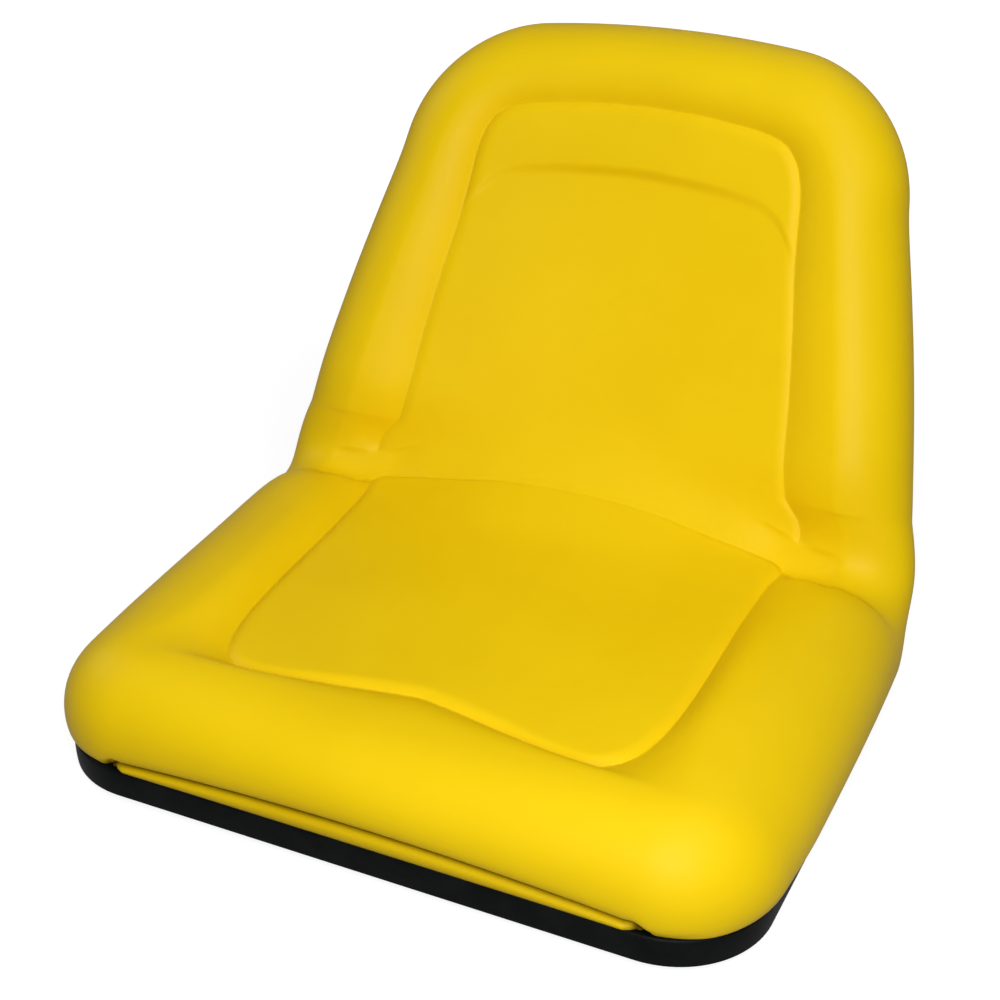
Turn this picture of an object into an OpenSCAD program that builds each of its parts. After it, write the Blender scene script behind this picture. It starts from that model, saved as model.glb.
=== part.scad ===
// Bucket seat for a garden tractor: a stamped steel pan that runs from the base up into
// the back, one moulded cushion over it, and a black channel pressed on the pan's rim.
//
// The surface is laid out along the pan: s runs from the front edge over the base, round
// the fold and up the back, x runs across, and h is the height from the mounting face
// toward the sitter. Units are millimetres. The front faces -Y and the origin is the
// middle of the four mounting holes, on the mounting face.

/* [Pan] */
// straight length of the base, front edge to fold
base_len = 290; // [282:1:340]
// radius of the fold under the pan
fold_r = 140; // [140:1:180]
// lean of the back from the vertical
lean = 22.5; // [15:0.5:30]
// length of the back above the fold
back_len = 300; // [240:1:340]
// width across the front corners
front_w = 459; // [400:1:520]
// width across the hips, the widest place
hip_w = 470; // [420:1:545]
// width where the back leaves the fold
waist_w = 444; // [400:1:520]
// width half way up the back
mid_back_w = 391; // [340:1:460]
// width across the top corners
top_w = 313; // [270:1:370]
// plan radius of the front corners
front_corner = 61; // [54:1:80]
// width of the rounding at the top corners
top_corner_w = 84; // [66:1:84]
// height of the rounding at the top corners
top_corner_h = 76; // [66:1:80]
// drop of the top edge from the middle to the corners
top_crown = 22; // [0:1:22]
// radius that the back wraps round the sitter
wrap_r = 740; // [700:5:1500]
// thickness of the sheet
pan_t = 2; // [1.5:0.1:3]
// height of the rim above the border of the pan
rim_h = 21; // [16:0.5:26]
// outside radius between the border and the rim
edge_r = 4.5; // [4:0.5:8]
// depth of the pressed panel below the border
panel_d = 3; // [3:0.5:6]
// width of the border round the pressed panel
border_w = 33; // [28:1:36]
// run of the slope down to the pressed panel
slope_w = 9; // [6:0.5:12]
// bore of the drain hole at the back of the base
drain_d = 14; // [8:1:20]

/* [Mounting] */
// spacing of the mounting holes across the seat
bolt_x = 285.75; // [200:0.25:300]
// spacing of the mounting holes along the seat
bolt_y = 206.4; // [150:0.1:206.4]
// front edge to the front mounting holes
bolt_set = 60; // [56:1:64]
// diameter of the mounting holes
bolt_hole_d = 9; // [8.5:0.1:10]
// thread diameter of the weld nuts
nut_bore = 8; // [6:0.5:8]
// width of the weld nuts across the flats
nut_af = 14; // [13:0.5:17]
// height of the weld nuts
nut_h = 6.5; // [5:0.5:8]

/* [Edge trim] */
// wall of the trim
trim_t = 2.2; // [1.6:0.1:2.8]
// length of the trim's leg inside the rim
trim_in = 9; // [6:0.5:12]
// bare edge left below the trim's outer leg
trim_gap = 4; // [4:0.5:8]

/* [Cushion] */
// thickness at the front of the base, from the border of the pan
seat_t_front = 86.5; // [70:0.5:95]
// thickness at the back of the base, from the border of the pan
seat_t_rear = 91; // [72:0.5:95]
// thickness of the back, from the border of the pan
back_t = 84; // [70:0.5:90]
// width of the rolled edge
roll_w = 45; // [42:1:50]
// how far the cushion stands out over the front of the trim
bulge_front = 3; // [2:0.5:6]
// how far it stands out over the sides
bulge_side = 9; // [5:0.5:12]
// how far it stands out over the trim of the back
bulge_back = 6; // [2:0.5:8]
// depth of the middle panels below the rolls
dish = 8; // [4:0.5:12]
// width of the middle panel of the base
panel_w = 300; // [260:1:330]
// border between the edge of the back and its middle panel
back_border = 98; // [80:1:110]
// run of the slope between a roll and a middle panel
ramp_w = 36; // [24:1:44]
// rounding at the foot of the plug that sits in the pan
plug_round = 8; // [6:0.5:10]

/* [Clearances] */
// gap between the cushion and the metal
soft_gap = 0.3; // [0.2:0.05:0.6]
// gap between the trim and the rim
grip_gap = 0.1; // [0.05:0.05:0.2]
// room in the cushion round a weld nut
nut_room = 3; // [2:0.5:5]

/* [Hidden] */
$fn = 48;
fold_a = 90 - lean;
fold_len = fold_r * fold_a * PI / 180;
fold_end = base_len + fold_len;
top_s = fold_end + back_len;
mount_y = bolt_set + bolt_y / 2;
wall_x = trim_t + grip_gap;
wall_top = panel_d + rim_h;
trim_top = wall_top + grip_gap + trim_t;
lip_h = trim_top + soft_gap;
plug_x = wall_x + pan_t + grip_gap + trim_t + soft_gap;
nut_side = nut_af / 2 / cos(30);

// smooth step from 0 to 1
function ease(u) = let (v = min(1, max(0, u))) v * v * (3 - 2 * v);
function mix(a, b, u) = a + (b - a) * u;

// height that the back gains toward its sides
function wrap(x, s) = x * x / (2 * wrap_r) * ease((s - base_len) / fold_len);

// point at width x, length s and height h
function place(x, s, h) =
    let (a = min(fold_a, max(0, (s - base_len) / fold_r * 180 / PI)),
         t = max(0, s - fold_end), r = fold_r - h)
    [x, min(s, base_len) + t * sin(lean) + r * sin(a) - mount_y,
     fold_r + t * cos(lean) - r * cos(a)];

// half width along the pan: a smooth curve through the named widths
width_s = [0, 0.8 * base_len, base_len + 0.5 * fold_len, fold_end, fold_end + 0.5 * back_len, top_s];
width_x = [front_w, hip_w, mix(waist_w, hip_w, 0.72), waist_w, mid_back_w, top_w] / 2;
function knot(s, i = 0) = (i > 3 || s < width_s[i + 1]) ? i : knot(s, i + 1);
function slope(i) =
    let (a = max(0, i - 1), b = min(5, i + 1)) (width_x[b] - width_x[a]) / (width_s[b] - width_s[a]);
function half_w(s) =
    let (i = knot(s), d = width_s[i + 1] - width_s[i], u = (s - width_s[i]) / d,
         v = u * u * (3 - 2 * u))
    mix(width_x[i], width_x[i + 1], v)
    + d * u * (1 - u) * ((1 - u) * slope(i) - u * slope(i + 1));

// outline of the trim's outer face, right half, from the front middle to the top middle
front_half = half_w(front_corner);
top_half = half_w(top_s - top_corner_h);
back_low = top_s - top_corner_h;
side_s = concat(
    [for (i = [1:6]) mix(front_corner, base_len, i / 6)],
    [for (i = [1:14]) base_len + fold_len * i / 14],
    [for (i = [1:6]) mix(fold_end, back_low, i / 7)]);
function crown(x, s) =
    [x, s - top_crown * pow(x / top_half, 2) * ease((s - fold_end) / back_len)];
right_edge = concat(
    [for (i = [0:5]) [(front_half - front_corner) * i / 6, 0]],
    [for (a = [0:11.25:90]) [front_half - front_corner * (1 - sin(a)), front_corner * (1 - cos(a))]],
    [for (s = side_s) crown(half_w(s), s)],
    [for (a = [0:11.25:90])
        crown(top_half - top_corner_w * (1 - cos(a)), back_low + top_corner_h * sin(a))],
    [for (i = [5:-1:0]) crown((top_half - top_corner_w) * i / 6, top_s)]);
half_n = len(right_edge) - 1;
edge_n = 2 * half_n;
edge = concat(right_edge, [for (i = [half_n - 1:-1:1]) [-right_edge[i][0], right_edge[i][1]]]);
function unit(v) = v / norm(v);
edge_out = [for (i = [0:edge_n - 1])
    let (d = unit(edge[(i + 1) % edge_n] - edge[(i + edge_n - 1) % edge_n])) [d[1], -d[0]]];

// outline point i moved in by d, then by the share u toward the middle line
function inset(i, d, u = 0) =
    let (p = edge[i] - d * edge_out[i], k = 40 * pow(p[0] / front_half, 2),
         m = min(top_s - 110 - k, max(120 + k, p[1])))
    [p[0] * (1 - u), mix(p[1], m, u)];

// one ring of points at inset d, share u and height h over the wrapped pan
function ring(d, u, h) =
    [for (i = [0:edge_n - 1]) let (p = inset(i, d, u)) place(p[0], p[1], h + wrap(p[0], p[1]))];

// solid through a run of rings, its two end rings closed across the middle; up to ring
// number turn the facets slant the other way, to lie along the face they sit on
module skin(rings, turn = 0) {
    m = len(rings);
    polyhedron(
        points = [for (r = rings) for (p = r) p],
        faces = concat(
            [for (k = [0:m - 2]) for (i = [0:edge_n - 1])
                let (a = k * edge_n + i, b = k * edge_n + (i + 1) % edge_n,
                     c = a + edge_n, d = b + edge_n)
                for (f = k < turn ? [[a, b, c], [b, d, c]] : [[a, b, d], [a, d, c]]) f],
            lid(0, false), lid((m - 1) * edge_n, true)),
        convexity = 8);
}

// faces that join the two halves of a ring, o its first point
function lid(o, up) = [
    for (i = [0:half_n - 1])
        let (a = o + i, b = o + i + 1, c = o + edge_n - i - 1, d = o + (edge_n - i) % edge_n)
        for (f = i == 0 ? [[a, b, c]] : i == half_n - 1 ? [[a, b, d]] : [[a, b, c], [a, c, d]])
            up ? f : [f[0], f[2], f[1]]];

// tube through a run of rings whose last ring meets the first
module loop_skin(rings) {
    m = len(rings);
    polyhedron(
        points = [for (r = rings) for (p = r) p],
        faces = [for (k = [0:m - 1]) for (i = [0:edge_n - 1])
            let (j = (i + 1) % edge_n, a = k * edge_n, b = (k + 1) % m * edge_n)
            for (f = [[a + i, a + j, b + i], [a + j, b + j, b + i]]) f],
        convexity = 8);
}

// round holes or posts at the four mounting points
module at_bolts() {
    for (x = [-1, 1], y = [-1, 1]) translate([x * bolt_x / 2, y * bolt_y / 2, 0]) children();
}

inner_u = [0.25, 0.5, 0.75, 0.93];
function backward(v) = [for (i = [len(v) - 1:-1:0]) v[i]];

// stamped pan, outer face first, then over the rim and back along the inner face
module seat_pan() {
    slope_x = border_w + slope_w;
    color("#1b1b1c") difference() {
        skin(concat(
            [for (u = backward(inner_u)) ring(slope_x, u, 0)],
            [ring(slope_x, 0, 0), ring(border_w, 0, panel_d)],
            [for (a = [0:30:90])
                ring(wall_x + edge_r * (1 - sin(a)), 0, panel_d + edge_r * (1 - cos(a)))],
            [ring(wall_x, 0, wall_top), ring(wall_x + pan_t, 0, wall_top)],
            [for (a = [90:-30:0]) let (r = edge_r - pan_t)
                ring(wall_x + pan_t + r * (1 - sin(a)), 0, panel_d + pan_t + r * (1 - cos(a)))],
            [ring(plug_x + plug_round, 0, panel_d + pan_t),
             ring(border_w, 0, panel_d + pan_t), ring(slope_x, 0, pan_t)],
            [for (u = inner_u) ring(slope_x, u, pan_t)]));
        at_bolts() translate([0, 0, -1]) cylinder(d = bolt_hole_d, h = pan_t + 2);
        translate([0, base_len - mount_y - drain_d, -1]) cylinder(d = drain_d, h = pan_t + 2);
    }
}

// hexagon nuts welded over the mounting holes
module weld_nuts() {
    color("#8f8d86") at_bolts() translate([0, 0, pan_t]) difference() {
        cylinder(r = nut_side, h = nut_h, $fn = 6);
        translate([0, 0, -1]) cylinder(d = nut_bore, h = nut_h + 2);
    }
}

// channel pressed over the rim, its section drawn as inset and height
module edge_trim() {
    far_x = wall_x + pan_t + grip_gap + trim_t;
    foot = panel_d + trim_gap;
    section = [
        [0, foot + 1], [0, trim_top - 2], [0.7, trim_top - 0.6], [2, trim_top],
        [far_x - 1, trim_top], [far_x, trim_top - 1], [far_x, wall_top - trim_in],
        [far_x - trim_t, wall_top - trim_in], [far_x - trim_t, wall_top + grip_gap],
        [trim_t, wall_top + grip_gap], [trim_t, foot], [0.8, foot]];
    color("#141414") loop_skin([for (p = section) ring(p[0], 0, p[1])]);
}

// sitter's side of the cushion
function seat_h(x, s) =
    panel_d + mix(seat_t_front, seat_t_rear, ease(s / 190))
    - dish * (1 - ease((abs(x) - panel_w / 2) / ramp_w)) * ease((s - roll_w) / ramp_w);
function back_h(x, s) =
    panel_d + back_t + wrap(x, s)
    - dish * (1 - ease((abs(x) - half_w(s) + back_border) / ramp_w))
    * ease((top_s - roll_w - s) / ramp_w);
function top_h(x, s) =
    let (a = min(fold_a, max(0, (s - base_len) / fold_r * 180 / PI)),
         p = (fold_r - seat_h(x, s)) / max(0.05, cos(a)),
         q = (fold_r - back_h(x, s)) / max(0.05, cos(fold_a - a)))
    s <= base_len ? seat_h(x, s) : s >= fold_end ? back_h(x, s)
    : fold_r - pow(pow(p, -10) + pow(q, -10), -0.1);
function bulge(s) =
    mix(mix(bulge_front, bulge_side, ease(s / 115)), bulge_back, ease((s - base_len) / fold_len));

// ring round the roll at angle a: 0 on top, 90 at its widest
function roll_ring(a) =
    [for (i = [0:edge_n - 1])
        let (b = bulge(edge[i][1]), t = inset(i, roll_w), p = inset(i, (roll_w + b) * (1 - sin(a)) - b),
             low = lip_h + wrap(p[0], p[1]), drop = 0.86 * (1 - cos(a)))
        place(p[0], p[1], mix(top_h(t[0], t[1]), low, drop))];
function top_ring(u) =
    [for (i = [0:edge_n - 1]) let (p = inset(i, roll_w, u)) place(p[0], p[1], top_h(p[0], p[1]))];
// ring under the roll, at a share of the bulge and height above the lip
function tuck_ring(share, rise) =
    [for (i = [0:edge_n - 1])
        let (p = inset(i, -bulge(edge[i][1]) * share))
        place(p[0], p[1], lip_h + rise + wrap(p[0], p[1]))];

// moulded cushion: plug that sits in the pan, lip over the trim, roll and top
module cushion() {
    slope_x = border_w + slope_w;
    floor_h = pan_t + soft_gap;
    color("#e8c40c") difference() {
        skin(concat(
            [for (u = backward(inner_u)) ring(slope_x, u, floor_h)],
            [ring(slope_x, 0, floor_h), ring(border_w, 0, panel_d + floor_h),
             ring(plug_x + plug_round, 0, panel_d + floor_h),
             ring(plug_x + plug_round / 4, 0, panel_d + floor_h + plug_round / 3),
             ring(plug_x, 0, panel_d + floor_h + plug_round), ring(plug_x, 0, lip_h)],
            [tuck_ring(-0.2, 0), tuck_ring(0.45, 1.5), tuck_ring(0.85, 4)],
            [for (a = [90, 78, 64, 48, 32, 16, 0]) roll_ring(a)],
            [for (u = [0.1, 0.22, 0.36, 0.55, 0.75, 0.93]) top_ring(u)]), turn = 8);
        at_bolts() translate([0, 0, -1])
            cylinder(r = nut_side + nut_room, h = pan_t + nut_h + nut_room + 1);
    }
}

seat_pan();
weld_nuts();
edge_trim();
cushion();
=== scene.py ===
import math

import bmesh
import bpy
import numpy as np
from mathutils import Matrix, Vector


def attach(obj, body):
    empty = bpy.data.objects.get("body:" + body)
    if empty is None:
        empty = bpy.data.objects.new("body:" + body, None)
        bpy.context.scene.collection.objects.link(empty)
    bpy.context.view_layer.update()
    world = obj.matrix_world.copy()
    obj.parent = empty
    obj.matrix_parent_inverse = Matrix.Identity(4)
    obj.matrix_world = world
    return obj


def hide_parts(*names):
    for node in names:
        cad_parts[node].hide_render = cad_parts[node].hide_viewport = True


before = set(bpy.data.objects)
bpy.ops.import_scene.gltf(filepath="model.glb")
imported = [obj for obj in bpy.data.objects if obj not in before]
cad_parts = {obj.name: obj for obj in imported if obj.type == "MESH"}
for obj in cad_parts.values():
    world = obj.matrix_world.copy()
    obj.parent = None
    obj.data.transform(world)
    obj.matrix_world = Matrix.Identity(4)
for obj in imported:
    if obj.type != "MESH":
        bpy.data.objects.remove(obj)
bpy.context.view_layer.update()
print("frame loaded", sorted(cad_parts))

# the seat's layout in millimetres: s runs along the pan from the front edge, x across,
# h is the height from the mounting face toward the sitter
form = {
    "baseLen": 290.0, "foldRadius": 140.0, "lean": 22.5, "backLen": 300.0,
    "frontW": 459.0, "hipW": 470.0, "waistW": 444.0, "midBackW": 391.0, "topW": 313.0,
    "hipAt": 0.8, "foldHip": 0.72,
    "frontCorner": 61.0, "topCornerW": 84.0, "topCornerH": 76.0, "topCrown": 22.0,
    "cornerBlend": 18.0, "wrapRadius": 740.0, "mountY": 163.2,
    "sheet": 2.0, "rim": 21.0, "edgeRadius": 4.5, "panelDepth": 3.0, "border": 33.0, "slope": 9.0,
    "drain": 14.0, "boltX": 285.75, "boltY": 206.4, "boltHole": 9.0,
    "trim": 2.2, "trimIn": 9.0, "trimGap": 4.0, "softGap": 0.3, "gripGap": 0.1,
}
# points on each stretch of the half outline
steps = {"front": 120, "corner": 90, "side": 700, "top": 81}
# the middle line that the inner rings shrink to: its ends, and how far they fan out
middleLine = {"front": 120.0, "top": 110.0, "fan": 40.0}

foldAngle = math.radians(90 - form["lean"])
foldLen = form["foldRadius"] * foldAngle
foldEnd = form["baseLen"] + foldLen
topS = foldEnd + form["backLen"]
wallIn = form["trim"] + form["gripGap"]
wallTop = form["panelDepth"] + form["rim"]
trimTop = wallTop + form["gripGap"] + form["trim"]
lipLevel = trimTop + form["softGap"]
plugIn = wallIn + form["sheet"] + form["gripGap"] + form["trim"] + form["softGap"]
tiny = 1e-6


def ease(u):
    v = np.clip(u, 0.0, 1.0)
    return v * v * (3 - 2 * v)


def rising(v, span):
    # 0 before the span's start, 1 after its length
    return ease((v - span[0]) / span[1])


def falling(v, span):
    # 0 beyond the span's start, 1 its length below that
    return ease((span[0] - v) / span[1])


def hump(v, at, wide):
    return np.exp(-((v - at) / wide) ** 2)


def mix(a, b, u):
    return a + (b - a) * u


def smoothThrough(knots, at):
    # cubic through (place, value) pairs that doesn't overshoot
    k = np.array(knots, float)
    x, y = k[:, 0], k[:, 1]
    h = np.diff(x)
    d = np.diff(y) / h
    m = np.zeros(len(x))
    same = d[:-1] * d[1:] > 0
    w1, w2 = 2 * h[1:] + h[:-1], h[1:] + 2 * h[:-1]
    m[1:-1][same] = (w1 + w2)[same] / (w1[same] / d[:-1][same] + w2[same] / d[1:][same])
    m[-1] = d[-1]
    at = np.clip(np.asarray(at, float), x[0], x[-1])
    i = np.clip(np.searchsorted(x, at, side="right") - 1, 0, len(x) - 2)
    u = (at - x[i]) / h[i]
    v = u * u * (3 - 2 * u)
    return mix(y[i], y[i + 1], v) + h[i] * u * (1 - u) * ((1 - u) * m[i] - u * m[i + 1])


# the outline's half width and its slope at six places along the pan
widthS = np.array([0, form["hipAt"] * form["baseLen"], form["baseLen"] + 0.5 * foldLen, foldEnd,
                   foldEnd + 0.5 * form["backLen"], topS])
widthX = np.array([form["frontW"], form["hipW"], mix(form["waistW"], form["hipW"], form["foldHip"]),
                   form["waistW"], form["midBackW"], form["topW"]]) / 2
widthM = np.array([(widthX[min(5, i + 1)] - widthX[max(0, i - 1)])
                   / (widthS[min(5, i + 1)] - widthS[max(0, i - 1)]) for i in range(6)])


def halfWidth(s):
    s = np.asarray(s, float)
    i = np.clip(np.searchsorted(widthS, s, side="right") - 1, 0, 4)
    d = widthS[i + 1] - widthS[i]
    u = (s - widthS[i]) / d
    v = u * u * (3 - 2 * u)
    return (mix(widthX[i], widthX[i + 1], v)
            + d * u * (1 - u) * ((1 - u) * widthM[i] - u * widthM[i + 1]))


def wrapAt(x, s):
    # the back is wrapped round the sitter
    return x * x / (2 * form["wrapRadius"]) * ease((s - form["baseLen"]) / foldLen)


def foldTurn(s):
    return np.clip((s - form["baseLen"]) / form["foldRadius"], 0.0, foldAngle)


def place(x, s, h):
    # layout to the shared frame, in metres
    a = foldTurn(s)
    t = np.maximum(0.0, s - foldEnd)
    r = form["foldRadius"] - h
    lean = math.radians(form["lean"])
    y = np.minimum(s, form["baseLen"]) + t * math.sin(lean) + r * np.sin(a) - form["mountY"]
    z = form["foldRadius"] + t * math.cos(lean) - r * np.cos(a)
    return np.stack([x + 0 * y, y, z + 0 * y], -1) / 1000


def outlineHalf():
    # the trim's outer face, from the front middle to the top middle
    fc, tw, th = form["frontCorner"], form["topCornerW"], form["topCornerH"]
    frontHalf, backLow = float(halfWidth(fc)), topS - th
    topHalf = float(halfWidth(backLow))
    a = np.linspace(0, math.pi / 2, steps["corner"], endpoint=False)
    along = np.linspace(fc, backLow, steps["side"], endpoint=False)
    x = np.concatenate([np.linspace(0, frontHalf - fc, steps["front"], endpoint=False),
                        frontHalf - fc * (1 - np.sin(a)), halfWidth(along),
                        topHalf - tw * (1 - np.cos(a)),
                        np.linspace(topHalf - tw, 0, steps["top"])])
    s = np.concatenate([np.zeros(steps["front"]), fc * (1 - np.cos(a)), along,
                        backLow + th * np.sin(a), np.full(steps["top"], topS)])
    # the side runs into the top corner without a kink
    turn = float(halfWidth(backLow - 1) - halfWidth(backLow)) / 2
    fill = np.hypot(s - backLow, form["cornerBlend"]) - abs(s - backLow)
    x += turn * fill * np.clip(1 - ((s - backLow) / th) ** 2, 0, 1)
    s = s - form["topCrown"] * (x / topHalf) ** 2 * ease((s - foldEnd) / form["backLen"])
    return np.stack([x, s], -1)


def runLength(p):
    return np.concatenate([[0.0], np.cumsum(np.hypot(*np.diff(p, axis=0).T))])


outline = outlineHalf()
outlineRun = runLength(outline)


def outlineAt(run, window=4.0):
    # point and outward direction at a distance along the half outline
    p = np.stack([np.interp(run, outlineRun, line) for line in outline.T], -1)
    lo, hi = np.maximum(0, run - window), np.minimum(outlineRun[-1], run + window)
    d = np.stack([np.interp(hi, outlineRun, line) - np.interp(lo, outlineRun, line)
                  for line in outline.T], -1)
    d[run < tiny] = (1, 0)
    d[run > outlineRun[-1] - tiny] = (-1, 0)
    d /= np.hypot(d[:, 0], d[:, 1])[:, None]
    return p, np.stack([d[:, 1], -d[:, 0]], -1)


def spread(n, *closer, samples=2001):
    # n + 1 places from 0 to 1, closer together round each (place, width, strength)
    u = np.linspace(0, 1, samples)
    density = 1 + sum(k * hump(u, at, wide) for at, wide, k in closer)
    total = np.concatenate([[0.0], np.cumsum((density[1:] + density[:-1]) / 2)])
    return np.interp(np.linspace(0, 1, n + 1), total / total[-1], u)


def ringPoints(edge, out, inset, h, share=0.0):
    # a ring at an inset from the outline, drawn by a share toward the middle line
    p = edge - out * np.asarray(inset + 0 * edge[:, 0])[:, None]
    k = middleLine["fan"] * (p[:, 0] / halfWidth(form["frontCorner"])) ** 2
    mid = np.minimum(topS - middleLine["top"] - k, np.maximum(middleLine["front"] + k, p[:, 1]))
    x, s = p[:, 0] * (1 - share), mix(p[:, 1], mid, share)
    return place(x, s, h + wrapAt(x, s))


def growRings(bm, edges, rings, spot, shade=None, shades=()):
    # extrude a border ring by ring; spot numbers the points along it, shade holds the painted shade
    # of the creases
    for k, points in enumerate(rings):
        made = bmesh.ops.extrude_edge_only(bm, edges=edges)["geom"]
        edges = [g for g in made if isinstance(g, bmesh.types.BMEdge)]
        ends = [g for g in made if isinstance(g, bmesh.types.BMVert)]
        for v in ends:
            v.co = points[v[spot]]
            if shade:
                v[shade] = float(np.broadcast_to(shades[k], len(points))[v[spot]])
    return ends


def newPiece(name, bm, material, smoothAngle=None):
    mesh = bpy.data.meshes.new(name)
    bm.to_mesh(mesh)
    bm.free()
    mesh.polygons.foreach_set("use_smooth", [True] * len(mesh.polygons))
    if smoothAngle:
        mesh.set_sharp_from_angle(angle=math.radians(smoothAngle))
    piece = bpy.data.objects.new(name, mesh)
    bpy.context.scene.collection.objects.link(piece)
    mesh.materials.append(material)
    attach(piece, "root")
    return piece


def openEdges(bm):
    return sum(1 for e in bm.edges if len(e.link_faces) != 2)


def nodesOf(name):
    material = bpy.data.materials.new(name)
    material.use_nodes = True
    nodes, links = material.node_tree.nodes, material.node_tree.links
    return material, nodes, links, nodes["Principled BSDF"]


def addNode(nodes, kind, **values):
    # an input's name sets its value, any other name sets the node itself
    node = nodes.new(kind)
    for key, value in values.items():
        if key in node.inputs:
            node.inputs[key].default_value = value
        else:
            setattr(node, key, value)
    return node


def setInputs(node, **values):
    # underscores stand for the spaces in an input's name
    for key, value in values.items():
        node.inputs[key.replace("_", " ")].default_value = value


def cloudedMaterial(name, look):
    # noise sets the tone and the roughness with it, and a second noise lifts the surface
    material, nodes, links, shader = nodesOf(name)
    where = addNode(nodes, "ShaderNodeTexCoord")
    cloud, fine = (addNode(nodes, "ShaderNodeTexNoise", Scale=scale, Detail=detail)
                   for scale, detail in (look["cloud"], look["fine"]))
    ramp = nodes.new("ShaderNodeValToRGB")
    for element, (at, colour) in zip(ramp.color_ramp.elements, look["tones"]):
        element.position, element.color = at, (*colour, 1)
    rough, bump = nodes.new("ShaderNodeMapRange"), nodes.new("ShaderNodeBump")
    setInputs(rough, To_Min=look["roughness"][0], To_Max=look["roughness"][1])
    setInputs(bump, Strength=look["lift"][0], Distance=look["lift"][1])
    setInputs(shader, Specular_IOR_Level=look["specular"], Metallic=look["metallic"])
    for node in (cloud, fine):
        links.new(where.outputs["Object"], node.inputs["Vector"])
    links.new(cloud.outputs["Fac"], ramp.inputs["Fac"])
    links.new(ramp.outputs["Color"], shader.inputs["Base Color"])
    links.new(cloud.outputs["Fac"], rough.inputs["Value"])
    links.new(rough.outputs["Result"], shader.inputs["Roughness"])
    links.new(fine.outputs["Fac"], bump.inputs["Height"])
    links.new(bump.outputs["Normal"], shader.inputs["Normal"])
    return material, where, ramp, bump, shader


# tones are (place on the ramp, colour), noises (scale, detail), lifts (strength, metres)
vinyl = {
    "tones": ((0.35, (0.79, 0.53, 0.002)), (0.62, (0.83, 0.565, 0.003))),
    "cloud": (7.0, 3.0), "fine": (90.0, 2.0), "lift": (0.06, 0.0015),
    "roughness": (0.38, 0.48), "specular": 0.10, "metallic": 0.0,
    # colour of the shade painted into creases, grooves and pockets, then the leather grain's scale
    # and lift
    "paintedShadeColour": (0.10, 0.055, 0.001), "grainScale": 1100.0, "grainLift": (0.10, 0.0002),
}


def vinylMaterial():
    # the clouded finish with a leather grain; tuckShade mixes painted shade into the base colour in
    # the creases, grooves and pockets
    material, where, ramp, bump, shader = cloudedMaterial("yellowVinyl", vinyl)
    nodes, links = material.node_tree.nodes, material.node_tree.links
    grain = addNode(nodes, "ShaderNodeTexVoronoi", Scale=vinyl["grainScale"])
    grainBump = nodes.new("ShaderNodeBump")
    setInputs(grainBump, Strength=vinyl["grainLift"][0], Distance=vinyl["grainLift"][1])
    tuck = addNode(nodes, "ShaderNodeAttribute", attribute_name="tuckShade")
    shaded = addNode(nodes, "ShaderNodeMixRGB", Color2=(*vinyl["paintedShadeColour"], 1))
    links.new(where.outputs["Object"], grain.inputs["Vector"])
    links.new(tuck.outputs["Fac"], shaded.inputs["Fac"])
    links.new(ramp.outputs["Color"], shaded.inputs["Color1"])
    links.new(shaded.outputs["Color"], shader.inputs["Base Color"])
    links.new(grain.outputs["Distance"], grainBump.inputs["Height"])
    links.new(bump.outputs["Normal"], grainBump.inputs["Normal"])
    links.new(grainBump.outputs["Normal"], shader.inputs["Normal"])
    return material


rubber = {
    "tones": ((0.4, (0.0022, 0.0030, 0.0028)), (0.7, (0.0050, 0.0062, 0.0058))),
    "cloud": (60.0, 5.0), "fine": (1500.0, 2.0), "lift": (0.12, 0.0002),
    "roughness": (0.39, 0.57), "specular": 0.07, "metallic": 0.0,
}
paint = {
    "tones": ((0.45, (0.008, 0.0085, 0.009)), (0.75, (0.02, 0.02, 0.02))),
    "cloud": (35.0, 6.0), "fine": (260.0, 1.0), "lift": (0.15, 0.0004),
    "roughness": (0.25, 0.45), "specular": 0.5, "metallic": 0.0,
}
zinc = {
    "tones": ((0.35, (0.36, 0.35, 0.33)), (0.65, (0.56, 0.54, 0.50))),
    "cloud": (420.0, 4.0), "fine": (420.0, 4.0), "lift": (0.2, 0.0002),
    "roughness": (0.26, 0.52), "specular": 0.5, "metallic": 1.0,
}

yellowVinyl = vinylMaterial()
blackRubber = cloudedMaterial("blackRubber", rubber)[0]
blackPaint = cloudedMaterial("blackPaint", paint)[0]
zincPlate = cloudedMaterial("zincPlate", zinc)[0]
print("materials done")

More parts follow.
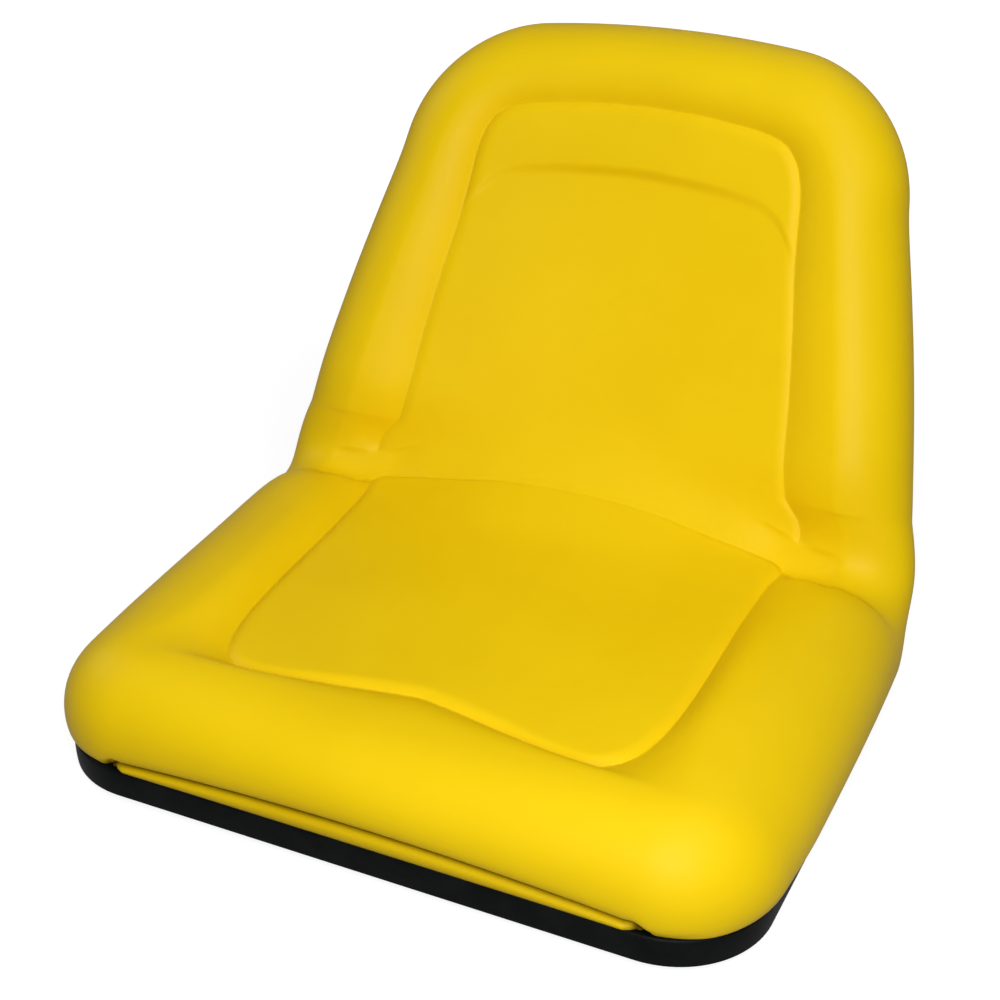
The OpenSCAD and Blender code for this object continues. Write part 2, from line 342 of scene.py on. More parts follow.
# in millimetres; a pair named Rise, Fall or dip is a start and a length, a Span a middle and a
# width, and what closes up is a (place, width, strength) along the 0 to 1 of its run
cushion = {
    # crest of the rolls, and the wrap of the back's face
    "seatFront": 86.5, "seatRear": 91.0, "seatRise": (0, 190), "back": 84.0,
    "frontDip": 4.0, "dipAcross": (0, 170), "dipAlong": (30, 110),
    "rearDrop": 1.0, "rearRise": (225, 60), "rearMost": 1.2,
    "wrapRise": (-50, 80), "wrapShare": 0.7,
    # rolls: inset and share of the way to the groove, and how far they stand past the trim
    "rollFront": (45.0, 0.62), "rollSide": (62.0, 0.78), "rollBack": (40.0, 0.60),
    "sideRise": (15, 95), "backRise": (190, 120), "rollPower": 8.0, "rollClose": (0.0, 0.18, 1.5),
    "drop": 0.80, "bulgeFront": 3.5, "bulgeSide": 9.0, "bulgeBack": 6.0, "bulgeRise": (0, 115),
    "notch": 2.0, "notchSpan": (345, 34), "foldBulge": 1.0, "foldBulgeSpan": (430, 75),
    "cornerSoft": 34.0, "crestSoft": 17.0, "sideTuck": 0.25,
    # groove, panel and the step across the back
    "grooveFront": 76.0, "grooveRear": 79.0, "grooveRise": (80, 200),
    "backGroove": 9.0, "topGroove": 7.0, "topRise": (640, 50), "grooveSteep": 2.2,
    "panelEdge": 3.4, "panelRound": 9.0, "panelSteep": 2.2, "panelCrown": 1.5, "panelHalf": 150.0,
    "stripRise": 3.2, "mainRise": 1.9, "mainDish": 2.5, "dishFlat": 20.0, "stepRound": 9.0,
    # channel across the fold, its ramp, and the fine line along its lower edge
    "floor": 78.5, "backFloor": 84.5, "floorRise": (140, 45), "rampLevel": 80.0,
    "bandLow": 12.0, "bandHigh": 10.0, "bandRise": (118, 32), "bandFade": 0.5,
    "foldLine": 0.9, "foldLineWide": 3.2, "foldLineMid": 0.45, "foldLineRise": (0, 150),
    # how tightly the levels meet at the fold
    "crestPower": 9, "groovePower": 20, "panelPower": 26,
    # lip under the front crease, and the open pocket at each end of it
    "lip": 12.5, "lipHalf": 168.0, "lipSag": 0.55, "lipSagMost": 1.15, "lipWaist": 11.0,
    "lipFull": 3.0, "lipFall": (1.0, 9.0), "frontFall": (60, 40), "acrossFall": (212, 30),
    "pocket": 4.2, "pocketRise": (-2, 3), "pocketFall": (6, 8),
    # how far the pocket's edge lifts, and from which turn shade is painted into the pocket
    "holeUp": 3.6, "holeTurn": (20, 52), "holePaintedShade": 0.97, "holePaintedShadeFrom": 58,
    # shade painted on the rows under the front crease by turn, and along the groove's border
    "lipShade": ((34, 44, 52, 60, 66, 70, 80, 87, 90),
                 (0.05, 0.40, 0.85, 1.0, 0.85, 0.22, 0.10, 0.25, 0.6)),
    "grooveShade": 0.12,
    # underside: rounding behind the trim as inset and height, and rings toward the middle
    "lipClear": 0.3, "floorClear": 0.5, "plugRound": ((0.6, 8.0), (3.0, 2.6), (8.6, 0.0)),
    "underShares": (0.0, 0.3, 0.65, 1.0),
    # mesh: columns and rows of the panel, each with the places where they are closer
    "columns": 60, "columnsClose": ((1.0, 0.06, 4.5), (0.82, 0.04, 3.0)),
    "rows": (90, 34, 70, 28),
    "rowsClose": (((0.0, 0.04, 4.0), (1.0, 0.06, 2.5)), ((0.0, 0.2, 0.6), (1.0, 0.2, 0.6)),
                  ((0.0, 0.1, 1.5), (1.0, 0.05, 3.0)), ((0.0, 0.2, 1.0), (1.0, 0.2, 2.0))),
    "rollRings": 18, "turnRings": 22, "weld": 1e-5,
}
# turn at the sides in degrees; at the front the bulge's share, the inset, the height over
# the lip or the share of its height, and the inset where there is no lip
tuckRows = [
    (10, -0.95, 0.0, 8.2, 0.0, 0.0), (22, -0.80, 0.0, 5.6, 0.0, 0.0),
    (34, -0.45, 0.0, 3.4, 0.0, 0.1), (44, 0.0, 0.6, 1.9, 0.0, 0.3),
    (52, 0.0, 3.6, 1.2, 0.4, 0.8), (60, 0.0, 7.0, None, 1.0, 2.2),
    (66, 0.0, 3.2, None, 0.93, 2.6), (70, 0.0, -0.4, None, 0.87, 3.0),
    (75, 0.0, -1.8, None, 0.76, 3.4), (80, 0.0, -2.2, None, 0.60, 3.8),
    (84, 0.0, -1.9, None, 0.36, 4.2), (87, 0.0, -1.0, None, 0.14, 4.5),
    (90, 0.0, 0.3, None, 0.0, 4.8),
]
# right half of the moulded groove, from the front middle round to the top middle
grooveKnots = np.array([
    (0, 84), (20, 81), (60, 72.5), (90, 65.5), (108, 64), (120, 66.5), (129, 73), (136, 82),
    (140, 92), (144, 108), (147.5, 135), (149, 170), (149.5, 230), (151, 270), (153, 300),
    (156, 330), (159, 365), (161, 400), (158, 420), (151, 442), (145, 462), (141, 485),
    (138, 515), (134, 545), (129.5, 575), (124.5, 605), (121, 635), (119, 655), (113.5, 674),
    (102, 688), (84, 694.5), (60, 698), (30, 701), (0, 702)], float)
grooveSteps = 2400
legEnds = ((131, 75), (110, 680))  # where the groove turns from the front and into the top
# lower and upper edge of the channel across the fold, and the step across the back
bandLowKnots = [(0, 389), (50, 385), (100, 367), (130, 358), (148, 350), (158, 334), (166, 314),
                (176, 300), (190, 294), (210, 291), (240, 290)]
bandHighKnots = [(0, 451), (40, 448), (75, 439), (100, 426), (125, 414), (155, 393), (180, 377),
                 (210, 368), (260, 362)]
stepKnots = [(0, 655.6), (47, 653), (90, 646), (105, 638), (114, 627), (122, 616), (140, 600)]
crossX = (156, 160, 122)  # where those three lines meet the groove's leg
# where the cross lines from the leg end on the outline. It is cut a few points inside the
# corners, and first and last count from there; band and step are places along it, and the
# rest are pairs of a place on the leg and one on the outline
crossOut = {"frontSkip": 30, "topSkip": 50, "first": 15, "last": -6,
            "band": (300, 400), "step": 628, "seat": ((130, 95), (220, 205)), "back": (500, 492)}
# across the fold: x, distance and tilt of the ramp, distance and tilt of the band
foldKnots = [(0, 55.0, 16, 58.8, 54), (50, 56.0, 14, 59.3, 52), (100, 58.8, 10, 60.7, 47.6),
             (150, 62.4, 3, 62.6, 45), (200, 64, 0, 61.9, 42), (260, 64, 0, 61.9, 42)]

grooveRunK = runLength(grooveKnots)
grooveRun = np.linspace(0, grooveRunK[-1], grooveSteps)
groove = np.stack([smoothThrough(np.stack([grooveRunK, grooveKnots[:, k]], -1), grooveRun)
                   for k in (0, 1)], -1)


def nearestRun(x, s):
    return grooveRun[np.argmin(np.hypot(groove[:, 0] - x, groove[:, 1] - s))]


runA, runB = (nearestRun(*end) for end in legEnds)
onLeg = (grooveRun >= runA) & (grooveRun <= runB)
legPart = groove[onLeg]


def legX(s):
    return np.interp(s, legPart[:, 1], legPart[:, 0])


def frontLine(x):
    part = groove[grooveRun <= runA]
    return np.interp(x, part[:, 0], part[:, 1])


def topLine(x):
    part = groove[grooveRun >= runB][::-1]
    return np.interp(x, part[:, 0], part[:, 1])


def bandLowLine(x):
    return smoothThrough(bandLowKnots, x)


def bandHighLine(x):
    return smoothThrough(bandHighKnots, x)


def stepLine(x):
    return smoothThrough(stepKnots, x)


def planeReach(distance, tilt, s):
    # how far a tilted plane lies from the fold's centre line, measured square to the pan
    a = foldTurn(s)
    before, after = np.minimum(0.0, s - form["baseLen"]), np.maximum(0.0, s - foldEnd)
    return (distance - np.sin(tilt) * before + np.sin(foldAngle - tilt) * after) / np.cos(a - tilt)


def joinFold(seat, back, x, s, power, ramp=True):
    # seat and back level met at the fold; the ramp and the band across the fold lie between them
    r = form["foldRadius"]
    planes = [(r - seat, 0.0 * s), (r - back, foldAngle + 0.0 * s)]
    if ramp:
        d1, t1, d2, t2 = (smoothThrough([(k[0], k[n]) for k in foldKnots], abs(x))
                          for n in (1, 2, 3, 4))
        d1, d2 = d1 + cushion["rampLevel"], d2 + cushion["rampLevel"]
        planes += [(d1 - seat, np.radians(t1)), (d2 - (seat + back) / 2, np.radians(t2))]
    total = sum(np.maximum(planeReach(d, tilt, s), 1.0) ** -power for d, tilt in planes)
    return r - total ** (-1 / power)


def seatCrest(x, s):
    rise = rising(s, cushion["seatRise"])
    level = form["panelDepth"] + mix(cushion["seatFront"], cushion["seatRear"], rise)
    start, over = cushion["rearRise"]
    level = level - cushion["rearDrop"] * np.clip((s - start) / over, 0, cushion["rearMost"]) ** 2
    dip = (1 - rising(abs(x), cushion["dipAcross"])) * (1 - rising(s, cushion["dipAlong"]))
    return level - cushion["frontDip"] * dip


def wrapTop(x, s):
    # the wrap of the cushion's face, eased along its own shorter way through the fold
    full = x * x / (2 * form["wrapRadius"])
    far = 1 - (form["panelDepth"] + cushion["back"]) / form["foldRadius"]
    near = far - cushion["wrapShare"] * full / form["foldRadius"]
    back = np.maximum(0.0, foldEnd - s)
    along = np.maximum(0.0, s - foldEnd) - near * back - (far - near) * back * back / (2 * foldLen)
    return full * rising(along, cushion["wrapRise"])


def backCrest(x, s):
    return form["panelDepth"] + cushion["back"] + wrapTop(x, s)


def crestLevel(x, s):
    return joinFold(seatCrest(x, s), backCrest(x, s), x, s, cushion["crestPower"], ramp=False)


def seatGroove(s):
    return mix(cushion["grooveFront"], cushion["grooveRear"], rising(s, cushion["grooveRise"]))


def backGroove(s):
    return mix(cushion["backGroove"], cushion["topGroove"], rising(s, cushion["topRise"]))


def grooveLevel(x, s):
    return joinFold(seatGroove(s), backCrest(x, s) - backGroove(s), x, s, cushion["groovePower"])


def panelLevel(x, s):
    crown = cushion["panelCrown"] * (1 - (x / cushion["panelHalf"]) ** 2)
    seat = seatGroove(s) + cushion["panelEdge"] + crown
    up = ease((s - stepLine(abs(x)) + cushion["stepRound"] / 2) / cushion["stepRound"])
    flat = cushion["dishFlat"]
    dish = cushion["mainDish"] * (1 - ease((abs(x) - flat) / (legX(s) - flat)))
    rise = mix(cushion["mainRise"] - dish, cushion["stripRise"], up)
    return joinFold(seat, backCrest(x, s) - backGroove(s) + rise, x, s, cushion["panelPower"])


def floorLevel(x, s):
    back = mix(cushion["floor"], cushion["backFloor"], rising(abs(x), cushion["floorRise"]))
    return joinFold(cushion["floor"] + 0 * s, back + wrapTop(x, s), x, s, cushion["groovePower"])


def slant(x):
    # how much longer the band's lower edge is than its width across
    return np.hypot(1, bandLowLine(x + 1) - bandLowLine(x))


def bandShare(x, s):
    # 1 in the channel between the rolls at the fold
    x = abs(x)
    wl, wh = cushion["bandLow"] * slant(x), cushion["bandHigh"]
    return (ease((s - bandLowLine(x) + wl / 2) / wl) * ease((bandHighLine(x) - s + wh / 2) / wh)
            * rising(x, cushion["bandRise"]))


def foldLine(x, s):
    # the fine line along the lower edge of the band
    x = abs(x)
    share = mix(cushion["foldLineMid"], 1.0, rising(x, cushion["foldLineRise"]))
    wide = cushion["foldLineWide"] * slant(x)
    return cushion["foldLine"] * share * hump(s, bandLowLine(x), wide)


def grooveDistance(x, s, every=3, parts=40):
    # in parts, to spare memory
    d = np.full(x.shape, np.inf)
    for part in np.array_split(groove[::every], parts):
        gap = np.hypot(abs(x)[:, None] - part[None, :, 0], s[:, None] - part[None, :, 1]).min(1)
        d = np.minimum(d, gap)
    return d


def insideHeight(x, s):
    level, bottom = panelLevel(x, s), grooveLevel(x, s)
    rise = 1 - np.clip(grooveDistance(x, s) / cushion["panelRound"], 0, 1)
    panel = level - (level - bottom) * rise ** cushion["panelSteep"]
    return mix(panel, floorLevel(x, s), bandShare(x, s)) - foldLine(x, s)


def ringHeight(x, s, v):
    # v runs from the groove to the crest of the roll
    crest, bottom = crestLevel(x, s), grooveLevel(x, s)
    roll = crest - (crest - bottom) * (1 - v) ** cushion["grooveSteep"]
    band = bandShare(x, s) * (1 - cushion["bandFade"] * v * v)
    return mix(roll, floorLevel(x, s), band) - foldLine(x, s)


def bulgeAt(s):
    front = mix(cushion["bulgeFront"], cushion["bulgeSide"], rising(s, cushion["bulgeRise"]))
    b = mix(front, cushion["bulgeBack"], ease((s - form["baseLen"]) / foldLen))
    return (b - cushion["notch"] * hump(s, *cushion["notchSpan"])
            + cushion["foldBulge"] * hump(s, *cushion["foldBulgeSpan"]))


def panelGrid():
    # places across, as shares of the half width, and rows as a segment and a share of it
    half = spread(cushion["columns"], *cushion["columnsClose"])
    colShare = np.concatenate([-half[::-1], half[1:]])
    rowSeg, rowT = [], []
    for k, n in enumerate(cushion["rows"]):
        t = spread(n, *cushion["rowsClose"][k])
        t = t if k == len(cushion["rows"]) - 1 else t[:-1]
        rowSeg += [k] * len(t)
        rowT += list(t)
    return colShare, np.array(rowSeg), np.array(rowT)


def softened(points, run, wide):
    # a closed line of points, its corners rounded over a width
    total = 2 * outlineRun[-1]
    step = (np.roll(run, -1) - np.roll(run, 1)) % total
    away = abs(run[:, None] - run[None, :])
    weight = np.exp(-(np.minimum(away, total - away) / wide) ** 2) * step[None, :]
    return weight @ points / weight.sum(1)[:, None]


def crestPlaces(inner, edge, out, side, run):
    # the line along the top of the roll, from the outline inward
    reach = np.hypot(*(edge - inner).T)
    onSide, onBack = (rising(edge[:, 1], cushion[key]) for key in ("sideRise", "backRise"))
    rollIn, share = (mix(mix(front, flank, onSide), back, onBack) for front, flank, back
                     in zip(cushion["rollFront"], cushion["rollSide"], cushion["rollBack"]))
    power = cushion["rollPower"]
    rollIn = (rollIn ** -power + (share * reach) ** -power) ** (-1 / power)
    mirror = np.stack([side, 1 + 0 * side], -1)
    return softened((edge - out * rollIn[:, None]) * mirror, run, cushion["cornerSoft"]) * mirror


def cushionRings(inner, edge, out, side, run):
    # rings from the groove over the roll and the tuck to the underside, each with its painted shade
    rings, shades = [], []
    crest = crestPlaces(inner, edge, out, side, run)
    for v in spread(cushion["rollRings"], cushion["rollClose"])[1:]:
        p = mix(inner, crest, v)
        hCrest = ringHeight(p[:, 0], p[:, 1], v)
        hCrest = mix(hCrest, softened(hCrest[:, None], run, cushion["crestSoft"])[:, 0], v ** 3)
        rings.append(place(p[:, 0], p[:, 1], hCrest))
        shades.append(0.0)

    # the lip under the front crease ends in a small open pocket on each side
    low = lipLevel + wrapAt(edge[:, 0], edge[:, 1])
    across, past = abs(edge[:, 0]), abs(edge[:, 0]) - cushion["lipHalf"]
    atFront = falling(edge[:, 1], cushion["frontFall"])
    sag = np.minimum(cushion["lipSagMost"], across / cushion["lipHalf"]) ** 2
    lipArc = cushion["lip"] * (1 - cushion["lipSag"] * sag)
    lipUp = lipArc * atFront * (1 - rising(past, cushion["lipFall"]))
    hole = atFront * rising(past, cushion["pocketRise"]) * (1 - rising(past, cushion["pocketFall"]))
    lipThere = np.clip(lipUp / cushion["lipFull"], 0, 1)
    waist = mix((hCrest - low) * (1 - cushion["drop"]), lipArc + cushion["lipWaist"], atFront)

    bulge = bulgeAt(edge[:, 1])
    outer = edge + out * bulge[:, None]
    for a in np.radians(np.linspace(0, 90, cushion["turnRings"] + 1)[1:]):
        p = mix(crest, outer, math.sin(a))
        rings.append(place(p[:, 0], p[:, 1], mix(hCrest, low + waist, 1 - math.cos(a))))
        shades.append(0.0)

    onFront = falling(across, cushion["acrossFall"]) * atFront
    tuckIn = cushion["sideTuck"]
    for turn, share, lipIn, rise, level, plainIn in tuckRows:
        c = math.radians(turn)
        sideIn = bulge * (tuckIn - (1 + tuckIn) * math.cos(c))
        sideH = low + waist * (1 - math.sin(c))
        frontIn = share * bulge + mix(plainIn, lipIn, lipThere)
        if rise is None:
            frontIn = frontIn + cushion["pocket"] * hole
            frontH = low + lipUp * level
        else:
            lifted = hole * np.interp(turn, cushion["holeTurn"], (0, cushion["holeUp"]))
            frontH = low + lipUp + rise * (waist - lipUp) / cushion["lipWaist"] + lifted
        p = edge - out * mix(sideIn, frontIn, onFront)[:, None]
        rings.append(place(p[:, 0], p[:, 1], mix(sideH, frontH, onFront)))
        # painted shade: the pocket's inner rows and the rows under the front crease are given shade
        # by turn
        paintedShade = cushion["holePaintedShade"] * hole if turn > cushion["holePaintedShadeFrom"] else 0.0
        shades.append(np.maximum(np.interp(turn, *cushion["lipShade"]) * lipThere, paintedShade))

    floorH = form["sheet"] + form["softGap"] + cushion["floorClear"]
    deep = form["panelDepth"] + floorH
    slopeIn = form["border"] + form["slope"]
    under = [(plugIn + cushion["plugRound"][0][0], lipLevel + cushion["lipClear"], 0)]
    under += [(plugIn + inward, deep + up, 0) for inward, up in cushion["plugRound"]]
    under += [(form["border"], deep, 0)]
    under += [(slopeIn, floorH, share) for share in cushion["underShares"]]
    rings += [ringPoints(edge, out, inset, h, share) for inset, h, share in under]
    return rings, shades + [0.0] * len(under)


def buildCushion():
    colShare, rowSeg, rowT = panelGrid()
    nx, ny = len(colShare) - 1, len(rowT) - 1
    lines = [frontLine, bandLowLine, bandHighLine, stepLine, topLine]
    crossS = [float(line(x)) for line, x in zip(lines[1:4], crossX)]
    legKnot = np.array([legPart[0, 1], *crossS, legPart[-1, 1]])
    legS = mix(legKnot[rowSeg], legKnot[rowSeg + 1], rowT)

    bm = bmesh.new()
    bmesh.ops.create_grid(bm, x_segments=nx, y_segments=ny, size=1.0)
    ci = np.round((np.array([v.co.x for v in bm.verts]) + 1) * nx / 2).astype(int)
    ri = np.round((np.array([v.co.y for v in bm.verts]) + 1) * ny / 2).astype(int)
    # number of each border point, counter-clockwise from the front left corner
    spot, shade = bm.verts.layers.int.new("spot"), bm.verts.layers.float.new("tuckShade")
    for v, c, r in zip(bm.verts, ci, ri):
        v[spot] = int(c if r == 0 else nx + r if c == nx else nx + ny + (nx - c) if r == ny
                      else 2 * nx + ny + (ny - r))

    # groove point and outline point of every border number, as run lengths on the right half
    legRun = np.interp(legS, legPart[:, 1], grooveRun[onLeg])
    first = steps["front"] + crossOut["frontSkip"]
    last = steps["front"] + steps["corner"] + steps["side"] + crossOut["topSkip"]
    sideOut, runOut = outline[first:last], outlineRun[first:last]
    onOutline = [sideOut[crossOut["first"], 1], *crossOut["band"], crossOut["step"],
                 sideOut[crossOut["last"], 1]]
    pairs = [*zip(legKnot, onOutline), *crossOut["seat"], crossOut["back"]]
    outS = smoothThrough(sorted(pairs), legS)
    legOut = np.interp(outS, sideOut[:, 1], runOut)
    share = abs(colShare)
    front = np.stack([share * runA, share * legOut[0]])
    top = np.stack([mix(grooveRun[-1], runB, share), mix(outlineRun[-1], legOut[-1], share)])
    leg = np.stack([legRun, legOut])
    runs = np.concatenate([front[:, :-1], leg[:, :-1], top[:, :0:-1], leg[:, :0:-1]], 1)
    side = np.concatenate([np.sign(colShare[:-1]), np.ones(ny), np.sign(colShare[:0:-1]),
                           -np.ones(ny)])
    inner = np.stack([np.interp(runs[0], grooveRun, groove[:, k]) for k in (0, 1)], -1)
    edge, out = outlineAt(runs[1])
    loopRun = np.where(side > 0, runs[1], 2 * outlineRun[-1] - runs[1]) % (2 * outlineRun[-1])
    rings, shades = cushionRings(inner, edge, out, side, loopRun)
    for points in rings:
        points[:, 0] *= side

    # the panel's own points, row by row between the crossing lines
    level = np.array([line(share[ci] * legX(legKnot[k])) for k, line in enumerate(lines)])
    seg, every = rowSeg[ri], np.arange(len(ci))
    gridS = mix(level[seg, every], level[seg + 1, every], rowT[ri])
    gridX = colShare[ci] * legX(legS[ri])
    grid = place(gridX, gridS, insideHeight(gridX, gridS))
    # painted shade along the groove's border, left out in the channel across the fold
    fade = cushion["grooveShade"] * (1 - bandShare(gridX, gridS))
    border = [e for e in bm.edges if len(e.link_faces) == 1]
    for v, point, paintedShade in zip(list(bm.verts), grid, fade):
        v.co = point
        v[shade] = float(paintedShade) * v.is_boundary
    ends = growRings(bm, border, rings, spot, shade, shades)
    bmesh.ops.remove_doubles(bm, verts=ends, dist=cushion["weld"])
    bmesh.ops.recalc_face_normals(bm, faces=bm.faces)
    print("cushion: border", len(side), "rings", len(rings), "faces", len(bm.faces),
          "open", openEdges(bm))
    piece = newPiece("mouldedCushion", bm, yellowVinyl)
    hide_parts("cushion")


buildCushion()


def loopOutline(perHalf):
    # the whole outline, counter-clockwise from the front middle
    edge, out = outlineAt(np.linspace(0, outlineRun[-1], perHalf + 1))
    turned = np.array([-1.0, 1.0])
    return (np.concatenate([edge, (edge * turned)[-2:0:-1]]),
            np.concatenate([out, (out * turned)[-2:0:-1]]))


def loopPiece(name, profile, closed, perHalf):
    # a circle put on the first ring of a profile of inset, height and share, grown through the rest
    edge, out = loopOutline(perHalf)
    rings = [ringPoints(edge, out, *station) for station in profile]
    bm = bmesh.new()
    bmesh.ops.create_circle(bm, segments=len(edge), radius=1.0)
    spot = bm.verts.layers.int.new("spot")
    for v in bm.verts:
        v[spot] = round(math.atan2(v.co.y, v.co.x) / (2 * math.pi) * len(edge)) % len(edge)
        v.co = rings[0][v[spot]]
    first = list(bm.verts)
    ends = growRings(bm, list(bm.edges), rings[1:] + (rings[:1] if closed else []), spot)
    # a closed profile meets itself, an open one ends on the middle line at both ends
    for welded in ([first + ends] if closed else [first, ends]):
        bmesh.ops.remove_doubles(bm, verts=welded, dist=tiny)
    bmesh.ops.recalc_face_normals(bm, faces=bm.faces)
    print(name + ": rings", len(rings), "faces", len(bm.faces), "open", openEdges(bm))
    return bm


quarter = np.radians(np.linspace(0, 90, 7))
edging = {
    "perHalf": 300, "crown": 0.35, "crownAt": (0.15, 0.35, 0.5, 0.65, 0.85), "footRound": 1.2,
    "topRound": 2.4, "innerRound": 1.1, "legRound": 0.6, "legBevel": 0.3, "smoothAngle": 50,
}


def edgingProfile():
    # round the channel, from its outer foot over the top to the end of its inner leg
    foot = form["panelDepth"] + form["trimGap"]
    wall, far = form["trim"], plugIn - form["softGap"]
    legEnd, inside = wallTop - form["trimIn"], wallTop + form["gripGap"]
    f, r, q, g = edging["footRound"], edging["topRound"], edging["innerRound"], edging["legRound"]
    low, high, b = foot + f, trimTop - r, edging["legBevel"] * g
    profile = [(f * (1 - math.sin(a)), foot + f * (1 - math.cos(a))) for a in quarter]
    profile += [(-edging["crown"] * math.sin(math.pi * u), mix(low, high, u))
                for u in edging["crownAt"]]
    profile += [(r * (1 - math.cos(a)), high + r * math.sin(a)) for a in quarter]
    profile += [(far - q * (1 - math.sin(a)), trimTop - q * (1 - math.cos(a))) for a in quarter]
    profile += [(far, legEnd + g), (far - b, legEnd + b), (far - g, legEnd),
                (far - wall + g, legEnd), (far - wall + b, legEnd + b), (far - wall, legEnd + g),
                (far - wall, inside), (wall, inside),
                (wall, foot + g), (wall - b, foot + b), (wall - g, foot)]
    return profile


def buildEdging():
    bm = loopPiece("edge channel", edgingProfile(), True, edging["perHalf"])
    piece = newPiece("edgeChannel", bm, blackRubber, edging["smoothAngle"])
    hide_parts("edge_trim")


buildEdging()

stamping = {
    "perHalf": 300, "soften": 1.5, "slopeSteps": 10, "rimRound": 0.9, "smoothAngle": 40,
    "shares": (0.06, 0.15, 0.3, 0.5, 0.75, 1.0),
    "plugSides": 64, "plugLong": 12.0, "plugMiddle": 1.0,
}


def faceProfile(lift, radius):
    # one face of the sheet, from the middle line to the rim
    inMost = form["border"] + form["slope"] + stamping["soften"]
    outMost = form["border"] - stamping["soften"]
    wall, level = wallIn + lift, form["panelDepth"] + lift
    profile = [(inMost, lift, share) for share in stamping["shares"][::-1]]
    profile += [(mix(inMost, outMost, u), lift + form["panelDepth"] * ease(u))
                for u in np.linspace(0, 1, stamping["slopeSteps"])]
    profile += [(wall + radius * (1 - math.sin(a)), level + radius * (1 - math.cos(a)))
                for a in quarter]
    return profile


def cutHoles(piece):
    # mounting holes and drain, cut by round plugs
    holes = [(x * form["boltX"] / 2, y * form["boltY"] / 2, form["boltHole"])
             for x in (-1, 1) for y in (-1, 1)]
    holes.append((0.0, form["baseLen"] - form["mountY"] - form["drain"], form["drain"]))
    bm = bmesh.new()
    for x, y, wide in holes:
        middle = Matrix.Translation((x / 1000, y / 1000, stamping["plugMiddle"] / 1000))
        bmesh.ops.create_cone(bm, cap_ends=True, segments=stamping["plugSides"],
                              radius1=wide / 2000, radius2=wide / 2000,
                              depth=stamping["plugLong"] / 1000, matrix=middle)
    plugs = bpy.data.meshes.new("holePlugs")
    bm.to_mesh(plugs)
    bm.free()
    cutter = bpy.data.objects.new("holePlugs", plugs)
    bpy.context.scene.collection.objects.link(cutter)
    cut = piece.modifiers.new("holes", "BOOLEAN")
    cut.operation, cut.solver, cut.object = "DIFFERENCE", "EXACT", cutter
    seen = piece.evaluated_get(bpy.context.evaluated_depsgraph_get())
    done = bpy.data.meshes.new_from_object(seen)
    piece.modifiers.clear()
    piece.data = done
    bpy.data.objects.remove(cutter)


def buildStamping():
    t, q = form["sheet"], stamping["rimRound"]
    outside = faceProfile(0.0, form["edgeRadius"])
    inside = faceProfile(t, form["edgeRadius"] - t)
    rim = [(wallIn + q * (1 - math.cos(a)), wallTop - q * (1 - math.sin(a))) for a in quarter]
    rim += [(wallIn + t - q * (1 - math.sin(a)), wallTop - q * (1 - math.cos(a))) for a in quarter]
    bm = loopPiece("stamped pan", outside + rim + inside[::-1], False, stamping["perHalf"])
    piece = newPiece("stampedPan", bm, blackPaint)
    cutHoles(piece)
    piece.data.set_sharp_from_angle(angle=math.radians(stamping["smoothAngle"]))
    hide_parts("seat_pan")


buildStamping()

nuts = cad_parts["weld_nuts"]
nuts.data.materials.clear()
nuts.data.materials.append(zincPlate)
print("nuts done")

# angles in degrees, lengths in metres; the focal length is for a frame 1000 wide;
# each lamp is a name, azimuth, elevation, distance, size and power
studio = {
    "azimuth": 24.75, "elevation": 28.9, "target": (-0.0073, 0.0480, 0.1480), "distance": 1.1145,
    "focal": 1736.6, "sensor": 36.0, "aim": (0, 0.05, 0.15),
    "world": 0.10, "reflected": 0.25, "floor": 0.30, "floorRough": 0.9, "floorRadius": 9.0,
    "floorSides": 96, "floorZ": -0.0005, "floorLift": 0.84, "liftFrom": 0.45, "liftTo": 1.3,
    "lamps": (("cameraLamp", 25, 30, 1.3, 0.6, 10.9), ("highLamp", 25, 45, 1.3, 0.3, 2.0),
              ("rightLamp", 60, 60, 1.2, 0.8, 4.6), ("leftLamp", -90, 30, 2.2, 1.2, 7.4),
              ("topLamp", 0, 88, 2.2, 1.6, 1.8), ("rearLamp", 171, 50, 2.2, 1.6, 2.0)),
}


def buildCamera():
    a, e = math.radians(studio["azimuth"]), math.radians(studio["elevation"])
    right = Vector((math.cos(a), math.sin(a), 0))
    look = Vector((-math.sin(a) * math.cos(e), math.cos(a) * math.cos(e), -math.sin(e)))
    up = right.cross(look)
    data = bpy.data.cameras.new("viewCamera")
    data.sensor_width = studio["sensor"]
    data.lens = studio["focal"] / 1000 * studio["sensor"]
    camera = bpy.data.objects.new("viewCamera", data)
    spot = Vector(studio["target"]) - look * studio["distance"]
    turn = Matrix((right, up, -look)).transposed().to_4x4()
    camera.matrix_world = Matrix.Translation(spot) @ turn
    bpy.context.scene.collection.objects.link(camera)
    bpy.context.scene.camera = camera


def areaLamp(name, azimuth, elevation, distance, size, power):
    data = bpy.data.lights.new(name, "AREA")
    data.shape = "SQUARE"
    data.size = size
    data.energy = power
    lamp = bpy.data.objects.new(name, data)
    a, e = math.radians(azimuth), math.radians(elevation)
    away = Vector((math.sin(a) * math.cos(e), -math.cos(a) * math.cos(e), math.sin(e)))
    lamp.location = Vector(studio["aim"]) + distance * away
    lamp.rotation_euler = (-away).to_track_quat("-Z", "Y").to_euler()
    bpy.context.scene.collection.objects.link(lamp)


def whiteSeen(nodes, links):
    # how far a ray sees the white studio: the camera fully, reflections in part
    path = nodes.new("ShaderNodeLightPath")
    part, clear, most = (addNode(nodes, "ShaderNodeMath", operation=kind)
                         for kind in ("MULTIPLY", "MAXIMUM", "MAXIMUM"))
    part.inputs[1].default_value = studio["reflected"]
    links.new(path.outputs["Is Glossy Ray"], part.inputs[0])
    links.new(path.outputs["Is Camera Ray"], clear.inputs[0])
    links.new(path.outputs["Is Transmission Ray"], clear.inputs[1])
    links.new(clear.outputs[0], most.inputs[0])
    links.new(part.outputs[0], most.inputs[1])
    return most.outputs[0]


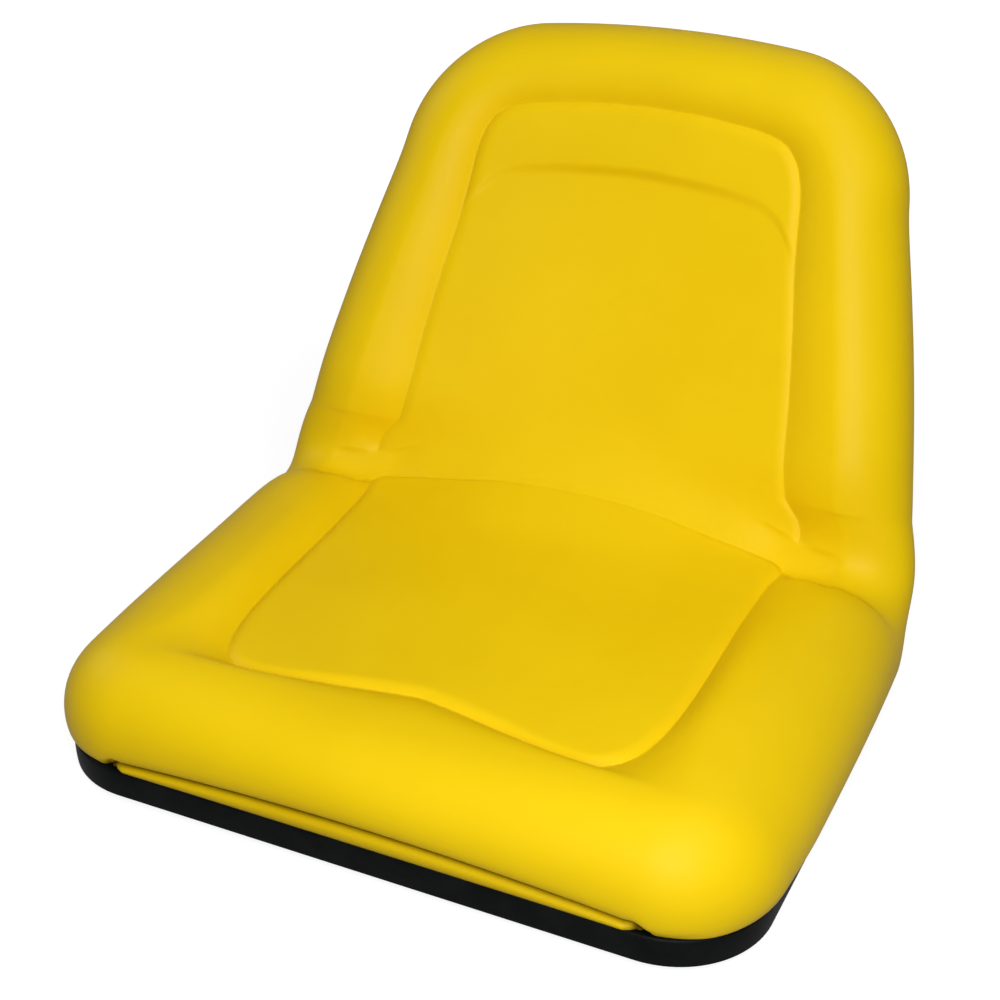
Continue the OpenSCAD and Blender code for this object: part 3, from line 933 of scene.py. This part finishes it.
def buildWorld():
    world = bpy.data.worlds.new("studioWorld")
    bpy.context.scene.world = world
    world.use_nodes = True
    nodes, links = world.node_tree.nodes, world.node_tree.links
    background, level = nodes["Background"], nodes.new("ShaderNodeMapRange")
    setInputs(level, To_Min=studio["world"], To_Max=1.0)
    setInputs(background, Color=(1, 1, 1, 1))
    links.new(whiteSeen(nodes, links), level.inputs["Value"])
    links.new(level.outputs["Result"], background.inputs["Strength"])


def paperMaterial():
    # pale paper that takes the shadow, with a glow for the camera that grows away from the seat
    material, nodes, links, shader = nodesOf("paperFloor")
    tone = studio["floor"]
    setInputs(shader, Base_Color=(tone, tone, tone, 1), Roughness=studio["floorRough"],
              Specular_IOR_Level=0.0)
    glow, total = nodes.new("ShaderNodeEmission"), nodes.new("ShaderNodeAddShader")
    scale = addNode(nodes, "ShaderNodeMath", operation="MULTIPLY")
    where = nodes.new("ShaderNodeTexCoord")
    reach = addNode(nodes, "ShaderNodeVectorMath", operation="LENGTH")
    fade = addNode(nodes, "ShaderNodeMapRange", interpolation_type="SMOOTHSTEP")
    setInputs(fade, From_Min=studio["liftFrom"], From_Max=studio["liftTo"],
              To_Min=studio["floorLift"], To_Max=1.0)
    links.new(where.outputs["Object"], reach.inputs[0])
    links.new(reach.outputs["Value"], fade.inputs["Value"])
    links.new(whiteSeen(nodes, links), scale.inputs[0])
    links.new(fade.outputs["Result"], scale.inputs[1])
    links.new(scale.outputs[0], glow.inputs["Strength"])
    links.new(shader.outputs["BSDF"], total.inputs[0])
    links.new(glow.outputs["Emission"], total.inputs[1])
    links.new(total.outputs["Shader"], nodes["Material Output"].inputs["Surface"])
    return material


def buildFloor():
    bm = bmesh.new()
    bmesh.ops.create_circle(bm, cap_ends=True, segments=studio["floorSides"],
                            radius=studio["floorRadius"])
    mesh = bpy.data.meshes.new("studioFloor")
    bm.to_mesh(mesh)
    bm.free()
    floor = bpy.data.objects.new("studioFloor", mesh)
    floor.location.z = studio["floorZ"]
    bpy.context.scene.collection.objects.link(floor)
    mesh.materials.append(paperMaterial())


bpy.context.scene.view_settings.view_transform = "Standard"
buildCamera()
buildWorld()
buildFloor()
for lamp in studio["lamps"]:
    areaLamp(*lamp)
print("camera, floor and lights done")
